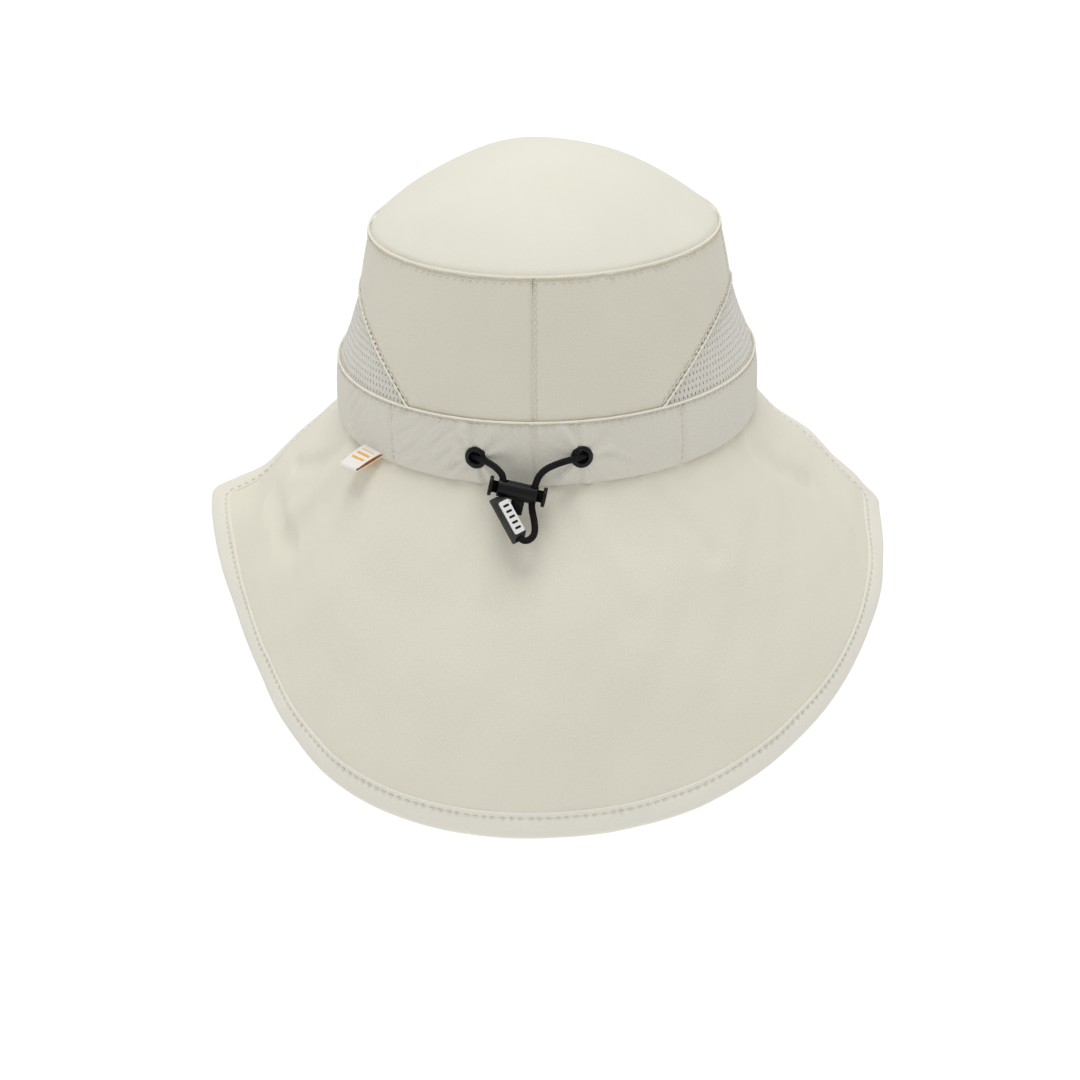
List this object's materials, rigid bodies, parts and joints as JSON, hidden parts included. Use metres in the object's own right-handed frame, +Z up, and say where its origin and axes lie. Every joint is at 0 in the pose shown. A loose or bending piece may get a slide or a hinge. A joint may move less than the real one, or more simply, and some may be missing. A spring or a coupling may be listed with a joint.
{
  "type": "sun hat with neck cape",
  "caption": "Child's bucket sun hat with a sloping brim, a wide neck cape, mesh side vents and a cord lock at the back of the band.",
  "frame": {"origin": "centre of the head opening, in the plane of the band's lower edge", "axes": "+Z up out of the crown, -Y to the wearer's front (the brim), +X to the wearer's left; -Z is the way the head leaves"},
  "size_m": [0.255, 0.293, 0.2001],
  "materials": {
    "crown_cloth": "matt fine plain weave, cream",
    "band_cloth": "matt fine plain weave, cream, a shade greyer",
    "cape_cloth": "matt fine plain weave, cream",
    "brim_cloth": "matt fine plain weave, cream, stiffened",
    "mesh": "knitted spacer mesh with small staggered holes, off-white",
    "sweatband_cloth": "soft brushed knit",
    "seam_tape": "narrow woven binding tape",
    "eyelet_plastic": "black moulded, satin",
    "elastic_cord": "black braided elastic",
    "anchor_stitch": "dense bar stitch",
    "lock_plastic": "black moulded, fine spark texture",
    "spring_steel": "bright wire",
    "pull_rubber": "dark grey moulded, matt",
    "pull_plate": "white, smooth",
    "tag_weave": "white woven label with plain orange stripes"
  },
  "bodies": {
    "root": {"band_back_left": "band_cloth", "band_back_right": "band_cloth", "band_front": "band_cloth", "brim_base": "brim_cloth", "brim_edge_left": "brim_cloth", "brim_edge_right": "brim_cloth", "cape_hem_left": "cape_cloth", "cape_hem_right": "cape_cloth", "cape_upper": "cape_cloth", "cord_anchor_left": "anchor_stitch", "cord_anchor_right": "anchor_stitch", "crown_back_left": "crown_cloth", "crown_back_right": "crown_cloth", "crown_front": "crown_cloth", "crown_top": "crown_cloth", "drawcord": "elastic_cord", "eyelet_left": "eyelet_plastic", "eyelet_right": "eyelet_plastic", "eyelet_washer_left": "eyelet_plastic", "eyelet_washer_right": "eyelet_plastic", "lower_casing_tape": "seam_tape", "mesh_vent_left": "mesh", "mesh_vent_right": "mesh", "pull_body": "pull_rubber", "pull_plate": "pull_plate", "side_tag": "tag_weave", "sweatband": "sweatband_cloth", "tip_seam_tape": "seam_tape", "upper_casing_tape": "seam_tape"},
    "brim_front": {"brim_front": "brim_cloth", "brim_edge_front": "brim_cloth"},
    "cape_back": {"cape_flap": "cape_cloth", "cape_hem_back": "cape_cloth"},
    "cord_lock": {"lock_barrel": "lock_plastic", "lock_spring": "spring_steel"},
    "button_left": {"lock_button_left": "lock_plastic"},
    "button_right": {"lock_button_right": "lock_plastic"}
  },
  "joints": [
    {"name": "brim_flip", "type": "hinge", "parent": "root", "child": "brim_front", "pos_m": [0, -0.09, -0.0026], "axis": [-1, 0, 0], "range_deg": [0, 50]},
    {"name": "cape_lift", "type": "hinge", "parent": "root", "child": "cape_back", "pos_m": [0, 0.1142, -0.0333], "axis": [1, 0, 0], "range_deg": [0, 50]},
    {"name": "lock_slide", "type": "slide", "parent": "root", "child": "cord_lock", "axis": [-0.2291, 0, 0.9734], "range_m": [0, 0.003], "deforming": ["drawcord"]},
    {"name": "button_left_press", "type": "slide", "parent": "cord_lock", "child": "button_left", "axis": [-0.9734, 0, -0.2291], "range_m": [0, 0.0016], "stiffness_N_per_m": 300, "springref_m": -0.001, "deforming": ["lock_spring"]},
    {"name": "button_right_press", "type": "slide", "parent": "cord_lock", "child": "button_right", "axis": [0.9734, 0, 0.2291], "range_m": [0, 0.0016], "stiffness_N_per_m": 300, "springref_m": -0.001, "deforming": ["lock_spring"]}
  ]
}
